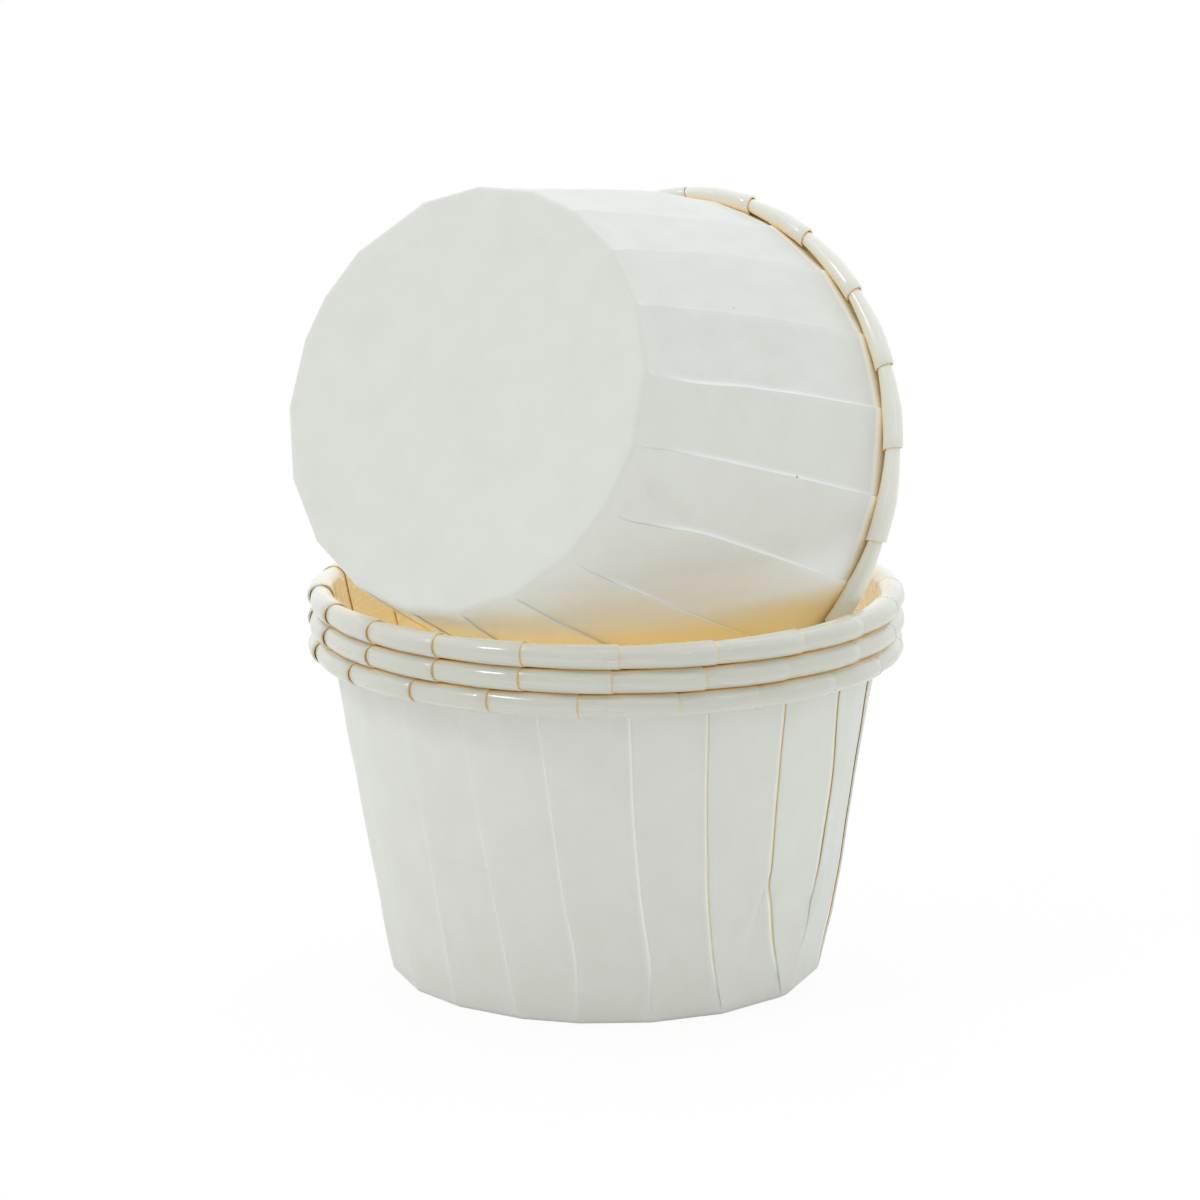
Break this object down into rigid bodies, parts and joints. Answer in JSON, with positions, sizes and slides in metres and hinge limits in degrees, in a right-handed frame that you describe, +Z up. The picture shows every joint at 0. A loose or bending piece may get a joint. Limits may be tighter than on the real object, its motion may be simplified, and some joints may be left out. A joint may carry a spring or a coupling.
{
  "type": "stack of pleated paper portion cups",
  "caption": "Nested white pleated paper portion cups with rolled rims, and one loose cup lying tilted in the mouth of the nest.",
  "frame": {"origin": "centre of the underside of the lowest cup's flat base, where the stack stands", "axes": "+Z up along the nested cups' shared axis, -Y towards the front, where the loose cup's base faces left and its mouth points right and back"},
  "size_m": [0.0705, 0.0687, 0.0931],
  "materials": {
    "cup_paper": "matte white paper outside, glossy clear film on the inside and on the rolled rim"
  },
  "bodies": {
    "root": {"bottom_cup": "cup_paper", "middle_cup": "cup_paper", "top_cup": "cup_paper", "loose_cup": "cup_paper"}
  },
  "joints": []
}
